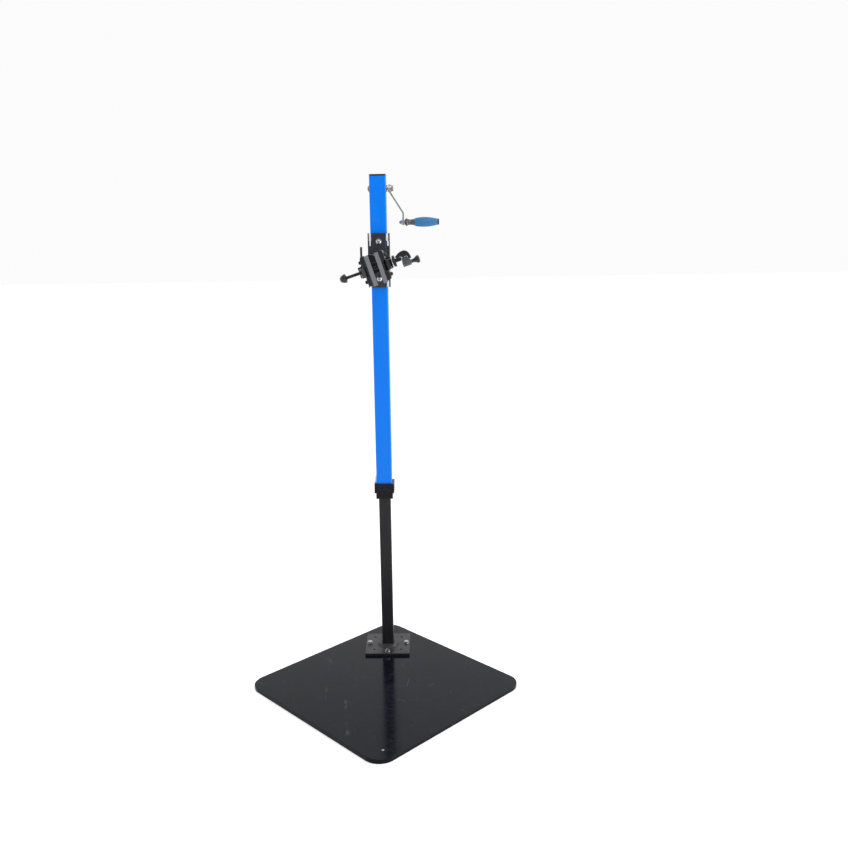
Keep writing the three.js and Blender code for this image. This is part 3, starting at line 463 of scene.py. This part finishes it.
def prism(name, body, where, outline, low, high, slot, bevel=0.6):
    """A plate with rounded edges: an outline of (along Z, along Y) points, from low to high along X."""
    bm = bmesh.new()
    sides = [[bm.verts.new((x, y, z)) for z, y in outline] for x in (low, high)]
    skin(bm, sides)
    bm.faces.new(sides[0])
    bm.faces.new(sides[1])
    bmesh.ops.recalc_face_normals(bm, faces=bm.faces)
    bmesh.ops.bevel(bm, geom=bm.edges[:], offset=bevel, segments=3, profile=0.5, affect="EDGES")
    return finish_mesh(name, bm, body, slot, where=where)


def soften(node, width, angle=28):
    """Rounds the edges of a CAD node by modifiers, and shades its curved faces smoothly."""
    piece = NODES[node]
    piece.data.polygons.foreach_set("use_smooth", [True] * len(piece.data.polygons))
    weld = piece.modifiers.new("weld", "WELD")
    weld.merge_threshold = 0.00001
    flat = piece.modifiers.new("flat", "DECIMATE")
    flat.decimate_type = "DISSOLVE"
    flat.angle_limit = math.radians(0.4)
    bevel = piece.modifiers.new("bevel", "BEVEL")
    bevel.width = width * MM
    bevel.segments = 3
    bevel.limit_method = "ANGLE"
    bevel.angle_limit = math.radians(angle)
    bevel.miter_outer = "MITER_ARC"
    normals = piece.modifiers.new("normals", "WEIGHTED_NORMAL")
    normals.weight = 100
    normals.keep_sharp = True


# ---------------------------------------------------------------- CAD nodes: materials and softened edges

for part in frame["record"]["subparts"]:
    mesh = NODES[part["node"]].data
    mesh.materials.clear()
    mesh.materials.append(FINISH_OF_NODE.get(part["node"], MATERIALS[part["material_slot"]]))

EDGE_WIDTHS = {
    "base_plate": 1.2, "foot_flange": 0.6, "inner_post": 0.5, "outer_column": 0.5, "top_cap": 0.9,
    "lower_collar": 0.7, "collar_sleeve": 0.6, "collar_shim": 0.5, "bracket_front": 0.5, "bracket_back": 0.5,
    "bracket_side_left": 0.6, "bracket_side_right": 0.6, "pad_top_left": 0.5, "pad_top_right": 0.5,
    "pad_bottom_left": 0.5, "pad_bottom_right": 0.5, "arm_socket": 0.9, "lock_lever": 0.9, "crank_arm": 0.6,
    "crank_shaft": 0.4, "clamp_yoke": 1.2, "fixed_jaw": 0.9, "moving_jaw": 0.9, "fixed_barrel": 0.4,
    "moving_barrel": 0.4, "fixed_pad": 0.9, "moving_pad": 0.9, "rod_washer": 0.3, "cam_block": 0.5,
    "cam_lever": 0.9, "lift_nut": 0.4, "post_guide": 0.4, "bearing_block": 0.4, "bushing_left": 0.3,
    "bushing_right": 0.3, "bevel_pinion": 0.15, "bevel_gear": 0.15, "plate_plug": 0.3,
}
for node, width in EDGE_WIDTHS.items():
    soften(node, width)

# ---------------------------------------------------------------- foot: bolts and weld beads

FLANGE_THICK = 9.2
FLANGE_TOP = box_mm("foot_flange")[0].z + FLANGE_THICK
FOOT_WASHER = 1.6
HEX_WIDTH = 14.3
SEAT_GAP = 0.3
for i in range(1, 5):
    low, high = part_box(f"foot_bolt_{i}")
    middle = (low + high) / 2
    top = high.z / MM - FLANGE_TOP - SEAT_GAP
    turn = Matrix.Rotation(0.25 + 0.4 * (i - 1), 4, "Z")
    seat = Matrix.Translation((middle.x, middle.y, high.z - top * MM)) @ turn
    turned(f"foot_bolt_head_{i}", "base", seat, [
        (0, -9), (4.8, -9), (4.8, 0), (8.8, 0), (8.8, FOOT_WASHER), (8.5, FOOT_WASHER),
        hexagon(HEX_WIDTH, FOOT_WASHER + 0.05), hexagon(HEX_WIDTH, top, crown=6.7), (6.6, top), (5.2, top),
        (4.8, top - 0.4), (0, top - 0.4),
    ], "zinc", [f"foot_bolt_{i}"], ease=0.35)

POST_LOW, POST_HIGH = box_mm("inner_post")
POST_Y = (POST_LOW.y + POST_HIGH.y) / 2
POST_HALF = (POST_HIGH.x - POST_LOW.x) / 2
POST_WELD_RISE = 5.4  # height of the weld round the post above the flange
FLANGE_WELD_RADIUS = 33.6


def square_path(half, corner, y, z):
    """The outline of a rounded square round the post, as closely spaced points."""
    points = []
    flat = half - corner
    for quarter in range(4):
        turn = Matrix.Rotation(quarter * math.pi / 2, 3, "Z")
        straight = line((half, -flat, 0), (half, flat, 0))[:-1]
        angles = [a * math.pi / 16 for a in range(8)]
        bend = [Vector((flat + corner * math.cos(a), flat + corner * math.sin(a), 0)) for a in angles]
        points += [turn @ p + Vector((0, y, z)) for p in straight + bend]
    return points


bead("post_weld", "base", square_path(POST_HALF + 1.6, 3.4, POST_Y, FLANGE_TOP + POST_WELD_RISE), 2.2, 2.6)
bead("flange_weld", "base", circle((0, POST_Y, FLANGE_TOP + 0.3), FLANGE_WELD_RADIUS, Z, X), 2.4, 3.0)

# ---------------------------------------------------------------- bracket: bolts and weld beads

BOLT_DOME = 7  # from the front of a bracket bolt's dome back to its seat
SOCKET_WELD_RADIUS = 31.6
for level in ("bottom", "top"):
    low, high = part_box(f"bracket_bolt_{level}")
    middle = (low + high) / 2
    seat = basis((middle.x, low.y + BOLT_DOME * MM, middle.z), -Y, X)
    turned(f"bracket_bolt_head_{level}", "column", seat, [
        (0, -12), (5, -12), (5, 0), (9, 0), (9, 1.4), (8.6, 1.6), (7.9, 3.2), (6.4, 5.1), (5.2, 6.2),
        (4.0, 6.8), hexagon(5.6, 6.85), hexagon(5.4, 3.4), (0, 3.0),
    ], "zinc", [f"bracket_bolt_{level}"], ease=0.3)

SOCKET_BACK = box_mm("arm_socket")[1].y
SWIVEL_MM = SWIVEL_ORIGIN / MM
socket_ring = circle((SWIVEL_MM.x, SOCKET_BACK - 0.4, SWIVEL_MM.z), SOCKET_WELD_RADIUS, Y, X)
bead("socket_weld", "column", socket_ring, 1.9, 2.8)

# ---------------------------------------------------------------- crank, handle and screws

turned("acorn_nut_fine", "crank", HANDLE_FRAME, [
    (0, 62.7), (2.6, 63.3), (4.6, 65.3), (5.6, 67.4), (6.0, 68.4),
    hexagon(12.4, 68.6), hexagon(12.4, 72.6), (4.4, 72.7), (4.4, 68.6), (0, 68.6),
], "zinc", ["acorn_nut"], ease=0.4)

turned("handle_bolt_fine", "crank", HANDLE_FRAME, [
    (0, 69), (4, 69), (4, 78.3), (7, 78.3), (7, 80), (4, 80), (4, 177.2), (0, 177.2),
], "steel", ["handle_bolt"], ease=0.3)

FERRULE, GRIP, GRIP_END, TIP = 80.6, 110.6, 180.3, 185.2
turned("handle_ferrule", "handle", HANDLE_FRAME, [
    (4.3, FERRULE), (7.5, FERRULE), (9.6, FERRULE + 1.2), (11.6, FERRULE + 4), (12, FERRULE + 5.6),
    (11.3, FERRULE + 6.8), (10, FERRULE + 8.4), (8.9, FERRULE + 11), (8.4, FERRULE + 13.5),
    (8.2, FERRULE + 16.5), (8.4, FERRULE + 20), (9.0, FERRULE + 24), (9.6, GRIP - 2.2), (10.6, GRIP - 1.8),
    (10.8, GRIP - 0.3), (6.5, GRIP - 0.3), (6.5, GRIP_END + 1), (4.3, GRIP_END + 1),
], "black_plastic", ["handle_core"], ease=0.8, closed=True, material=BLACK_CHROME)


DOT_PITCH, DOTS_ROUND, DOT_HEIGHT, DOT_RADIUS, DOT_SLOPE = 2.9, 26, 0.45, 1.12, 0.42


def grip_radius(theta, along):
    """The swollen grip with rows of small raised dots."""
    t = (along - GRIP) / (GRIP_END - GRIP)
    swell = 11 + 4.2 * math.sin(math.pi * min(1, 0.04 + 0.96 * t) ** 0.9) - 1.4 * t * t
    if t <= 0.03 or t >= 0.97:
        return swell - DOT_HEIGHT
    row = (along - GRIP) / DOT_PITCH
    around = theta / (2 * math.pi) * DOTS_ROUND + 0.5 * (math.floor(row) % 2)
    off = math.hypot((row % 1 - 0.5) * DOT_PITCH, (around % 1 - 0.5) * 2 * math.pi * swell / DOTS_ROUND)
    dot = min(1.0, max(0.0, (DOT_RADIUS - off) / DOT_SLOPE))
    return swell - DOT_HEIGHT + DOT_HEIGHT * dot * dot * (3 - 2 * dot)


relief("handle_grip_dotted", "handle", HANDLE_FRAME, grip_radius, GRIP, GRIP_END, 210, 234, "blue_grip",
       ["handle_grip"])
turned("handle_end_cap", "handle", HANDLE_FRAME, [
    (0, GRIP_END + 0.3), (9.4, GRIP_END + 0.3), (9.4, TIP - 1.4), (8, TIP), (5, TIP), (4.4, TIP - 0.8),
    (0, TIP - 1.0),
], "black_plastic", ["handle_cap"], ease=0.7)

SCREW_LOW, SCREW_HIGH = box_mm("lift_screw")
SHOULDER_TOP = box_mm("bearing_block")[0].z - SEAT_GAP
SHOULDER_BOTTOM = SHOULDER_TOP - 7
SCREW_FRAME = basis((CRANK_ORIGIN.x, CRANK_ORIGIN.y, 0), Z, X)
relief("lift_screw_thread", "screw", SCREW_FRAME, thread(8, 1.6, 8, SCREW_LOW.z, SHOULDER_BOTTOM),
       SCREW_LOW.z, SHOULDER_BOTTOM, 580, 24, "steel", ["lift_screw"])
turned("lift_screw_shoulder", "screw", SCREW_FRAME, [
    (0, SHOULDER_BOTTOM), (13, SHOULDER_BOTTOM), (13, SHOULDER_TOP), (8, SHOULDER_TOP),
    (8, SHOULDER_TOP + 24), (5, SHOULDER_TOP + 24), (5, SCREW_HIGH.z), (0, SCREW_HIGH.z),
], "steel")

# ---------------------------------------------------------------- clamp: rod, knob, ring, lever and screws

ROD_START, ROD_NECK, ROD_END = -86, 51.5, 56
ROD_BORE = 4.3
ROD_HEAD = ROD_END - 2.4
relief("rod_thread", "knob", ROD_FRAME, thread(4, 0.4, 1, ROD_START, ROD_NECK - 4), ROD_START, ROD_NECK,
       1100, 20, "dark_steel", ["spindle"])
turned("rod_head", "knob", ROD_FRAME, [
    (0, ROD_NECK - 0.5), (3, ROD_NECK - 0.5), (3, ROD_HEAD), (3.9, ROD_HEAD), (3.9, ROD_END), (0, ROD_END),
], "dark_steel", ease=0.3)

KNOB = -78


def scalloped(radius, along, depth=0.8, count=9):
    """A ring of the knob's skirt with shallow finger scallops."""
    def ring(theta):
        return radius - depth * max(0.0, math.cos(count * theta)) ** 2, along
    return ring


turned("knob_fine", "knob", ROD_FRAME, [
    (0, KNOB - 18.5), (2.6, KNOB - 18.3), (4.8, KNOB - 17.5), (6.8, KNOB - 15.9), (8.4, KNOB - 13.9),
    (9.5, KNOB - 11.4), (10.2, KNOB - 9.2), scalloped(10.8, KNOB - 7.2, 0.5), scalloped(11.15, KNOB - 5),
    scalloped(11.2, KNOB - 3.8), scalloped(11, KNOB - 2.7), scalloped(10.4, KNOB - 2.0, 0.6),
    (9.2, KNOB - 1.6), (6.8, KNOB - 1.6), (6.3, KNOB - 0.5), (6.0, KNOB), (ROD_BORE, KNOB),
    (ROD_BORE, KNOB - 8.3), (0, KNOB - 8.3),
], "black_plastic", ["mushroom_knob"], ease=0.5, sides=108)

RING, RING_END = 44.6, 51.8


def lobed(radius, along, depth=0.9, lobes=14):
    """A ring with half-round grooves cut across its rim."""
    def ring(theta):
        groove = max(0.0, 1 - abs((theta / (2 * math.pi) * lobes + 0.5) % 1 - 0.5) * 4.4)
        return radius - depth * math.sqrt(groove), along
    return ring


turned("ring_collar_fine", "clamp_head", ROD_FRAME, [
    (ROD_BORE, RING), (11.2, RING), (12, RING + 0.2), lobed(13.1, RING + 0.3, 0.5), lobed(13.9, RING + 0.7),
    lobed(14.3, RING + 1.5), lobed(14.3, RING_END - 1.5), lobed(13.9, RING_END - 0.7),
    lobed(13.1, RING_END - 0.3, 0.5), (12, RING_END - 0.2), (10, RING_END), (ROD_BORE, RING_END),
], "black_cast", ["ring_collar"], ease=0.3, sides=168, closed=True)

LEVER_FRAME = on_axis("lever_end", ROD_FRAME)
turned("lever_sleeve_fine", "lever", LEVER_FRAME, [
    (0, 66), (6.3, 66), (7.0, 66.3), (8, 67.4), (8, 69.4), (7.65, 69.7), (7.65, 70.6), (8, 70.9),
    (8, 85.2), (7.8, 86.4), (7.1, 87.5), (5.6, 88), (0, 88),
], "grey_paint", ["lever_sleeve"], ease=0.25)
LUG_TOP = extent("lever_sleeve", LEVER_FRAME)[1].y
prism("lever_sleeve_lug", "lever", LEVER_FRAME, [
    (67.6, 5), (67.6, LUG_TOP - 1.2), (68.8, LUG_TOP), (81.6, LUG_TOP), (82.8, LUG_TOP - 1.2), (82.8, 5),
], -5, 5, "grey_paint")

turned("lever_end_fine", "lever", LEVER_FRAME, [
    (0, 88.3), (4.9, 88.3), (4.7, 90.4), (4.5, 93), (4.8, 95.2), (5.5, 97.4), (6.9, 99.9), (8.4, 101.9),
    (9.3, 103.6), (9.7, 105.6), (9.6, 107.2), (8.9, 108.8), (7.4, 109.9), (5, 110.5), (2.5, 110.7),
    (0, 110.8),
], "black_plastic", ["lever_end"], ease=0.4)

for side, sign, body in (("fixed", 1, "clamp_head"), ("moving", -1, "jaw")):
    for level in ("lower", "upper"):
        node = f"{side}_screw_{level}"
        seat = on_axis(node, basis(ROD_ORIGIN, ROD * sign, Y))
        turned(f"{node}_fine", body, seat, [
            (0, 21), (2.5, 21), (2.5, 30.3), (5.2, 30.3), (5.2, 31), (4.6, 31.1), (4.6, 33.6), (4.1, 35.0),
            (3.0, 36.1), (2.2, 36.5), hexagon(3.2, 36.5), hexagon(3.1, 34.2), (0, 34.0),
        ], "dark_steel", [node], ease=0.25)

ARM_LOW, ARM_HIGH = box_mm("clamp_arm")
ARM_RADIUS = (ARM_HIGH.x - ARM_LOW.x) / 2
ARM_BORE = ARM_RADIUS - 3
ARM_FRAME = basis((SWIVEL_ORIGIN.x, 0, SWIVEL_ORIGIN.z), Y, Z)
turned("clamp_arm_tube", "clamp_head", ARM_FRAME, [
    (ARM_BORE, ARM_LOW.y), (ARM_RADIUS, ARM_LOW.y), (ARM_RADIUS, ARM_HIGH.y), (ARM_BORE, ARM_HIGH.y),
], "black_coat", ["clamp_arm"], ease=0.6, sides=96, closed=True)

# ---------------------------------------------------------------- stage, light and camera

def light(name, place, aim, size, energy, size_y=None):
    """A soft rectangular light, sizes in metres and energy in watts."""
    data = bpy.data.lights.new(name, "AREA")
    data.energy = energy
    data.shape = "RECTANGLE"
    data.size = size
    data.size_y = size_y or size
    lamp = bpy.data.objects.new(name, data)
    bpy.context.scene.collection.objects.link(lamp)
    lamp.location = place
    lamp.rotation_mode = "QUATERNION"
    lamp.rotation_quaternion = (Vector(aim) - Vector(place)).to_track_quat("-Z", "Y")


FLOOR_REACH = 30


def stage_floor():
    """A wide pale floor under the stand."""
    mesh = bpy.data.meshes.new("floor")
    reach = FLOOR_REACH
    corners = [(-reach, -reach, 0), (reach, -reach, 0), (reach, reach, 0), (-reach, reach, 0)]
    mesh.from_pydata(corners, [], [(0, 1, 2, 3)])
    floor = bpy.data.objects.new("floor", mesh)
    bpy.context.scene.collection.objects.link(floor)
    g = Graph("pale_floor")
    g.put(g.shader.inputs["Base Color"], g.mix(g.noise(3, 3), (0.93, 0.935, 0.94), (0.95, 0.95, 0.95)))
    g.shader.inputs["Roughness"].default_value = 0.7
    g.shader.inputs["Specular IOR Level"].default_value = 0.2
    mesh.materials.append(g.material)


# the world's strength in front, behind and added above, and as the camera sees it
WORLD_FRONT, WORLD_BACK, WORLD_TOP, WORLD_SHOWN = 0.42, 0.95, 0.65, 0.97


def studio_world():
    """Pale all round, dimmer in front of the stand and brighter above and behind it."""
    world = bpy.data.worlds.new("studio")
    world.use_nodes = True
    tree = world.node_tree
    background = tree.nodes["Background"]
    direction = tree.nodes.new("ShaderNodeTexCoord").outputs["Generated"]
    axes = tree.nodes.new("ShaderNodeSeparateXYZ")
    tree.links.new(direction, axes.inputs[0])

    def span(value, low, high, to_low, to_high):
        node = tree.nodes.new("ShaderNodeMapRange")
        for socket, number in zip(node.inputs[1:5], (low, high, to_low, to_high)):
            socket.default_value = number
        tree.links.new(value, node.inputs[0])
        return node.outputs[0]

    def combine(operation, a, b):
        node = tree.nodes.new("ShaderNodeMath")
        node.operation = operation
        for socket, value in zip(node.inputs, (a, b)):
            if isinstance(value, bpy.types.NodeSocket):
                tree.links.new(value, socket)
            else:
                socket.default_value = value
        return node.outputs[0]

    depth = span(axes.outputs["Y"], -0.8, 0.7, WORLD_FRONT, WORLD_BACK)
    height = span(axes.outputs["Z"], 0.0, 1.0, 0.0, WORLD_TOP)
    lit = combine("ADD", depth, height)
    seen = tree.nodes.new("ShaderNodeLightPath").outputs["Is Camera Ray"]
    unseen = combine("MULTIPLY", combine("SUBTRACT", 1.0, seen), lit)
    shown = combine("ADD", combine("MULTIPLY", seen, WORLD_SHOWN), unseen)
    background.inputs["Color"].default_value = (1.0, 1.0, 1.0, 1)
    tree.links.new(shown, background.inputs["Strength"])
    bpy.context.scene.world = world


stage_floor()
studio_world()
light("key", (0.7, -2.4, 3.6), (0, 0, 0.9), 1.8, 42)
light("right", (2.3, 0.1, 1.3), (0, 0.2, 1.0), 1.7, 52, 2.4)
light("left", (-2.4, 0.0, 1.8), (0, 0.1, 1.0), 1.3, 16, 2.0)

CAMERA_PLACE = (0.13166, -2.42885, 1.36093)
YAW, PITCH, ROLL = (math.radians(angle) for angle in (1.204, 12.535, -0.961))
camera_data = bpy.data.cameras.new("camera")
camera_data.sensor_width = 36
camera_data.lens = 36.04
camera_data.shift_x, camera_data.shift_y = 0.0203, 0.0077
camera_data.clip_end = 100
camera = bpy.data.objects.new("camera", camera_data)
bpy.context.scene.collection.objects.link(camera)
forward = Vector((-math.sin(YAW) * math.cos(PITCH), math.cos(YAW) * math.cos(PITCH), -math.sin(PITCH)))
level_right = Vector((math.cos(YAW), math.sin(YAW), 0))
level_up = level_right.cross(forward)
right = level_right * math.cos(ROLL) + level_up * math.sin(ROLL)
up = level_up * math.cos(ROLL) - level_right * math.sin(ROLL)
camera.matrix_world = basis(CAMERA_PLACE, -forward, right)
bpy.context.scene.camera = camera
bpy.context.scene.view_settings.view_transform = "Standard"
